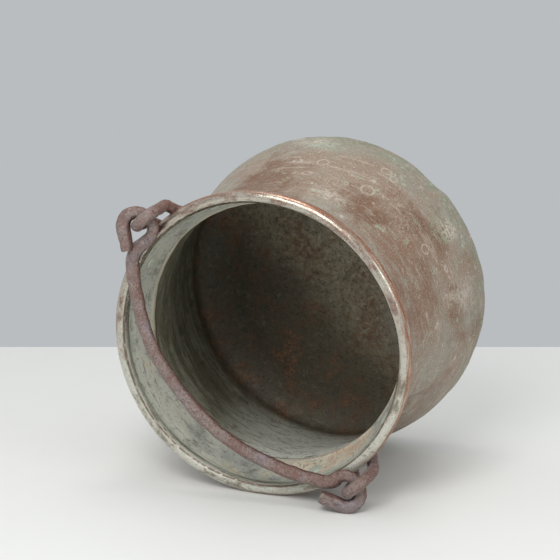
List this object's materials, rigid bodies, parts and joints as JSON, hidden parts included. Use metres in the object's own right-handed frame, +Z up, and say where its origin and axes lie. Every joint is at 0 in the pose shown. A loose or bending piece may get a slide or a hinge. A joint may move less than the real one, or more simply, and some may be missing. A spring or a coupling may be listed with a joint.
{
  "type": "pail",
  "caption": "Old hammered copper pail lying on its side, with a belly wider than its neck, a rolled rim, riveted forged iron ears and a swinging iron bail.",
  "frame": {"origin": "On the ground under the middle of the lying pail's bounding box", "axes": "+Z up, the mouth faces -Y and leans a little downwards, the base faces +Y, +X to the right of someone looking into the mouth"},
  "size_m": [0.3048, 0.2612, 0.3037],
  "materials": {
    "old_copper": "hammered copper, tarnished grey-brown with verdigris, old tinning inside",
    "forged_iron_ears": "forged iron, dry rust",
    "tinned_rivets": "hammered copper heads, dull tinning and verdigris",
    "forged_iron_bail": "forged iron, purple-brown rust worn smooth"
  },
  "bodies": {
    "pail": {"vessel": "old_copper", "ear_upper": "forged_iron_ears", "ear_lower": "forged_iron_ears", "rivet_upper_left": "tinned_rivets", "rivet_upper_right": "tinned_rivets", "rivet_lower_left": "tinned_rivets", "rivet_lower_right": "tinned_rivets"},
    "handle": {"bail": "forged_iron_bail"}
  },
  "joints": [
    {"name": "bail_swing", "type": "hinge", "parent": "pail", "child": "handle", "pos_m": [0, -0.10669, 0.13845], "axis": [-0.6468, -0.0477, 0.7612], "range_deg": [-10, 172]}
  ]
}
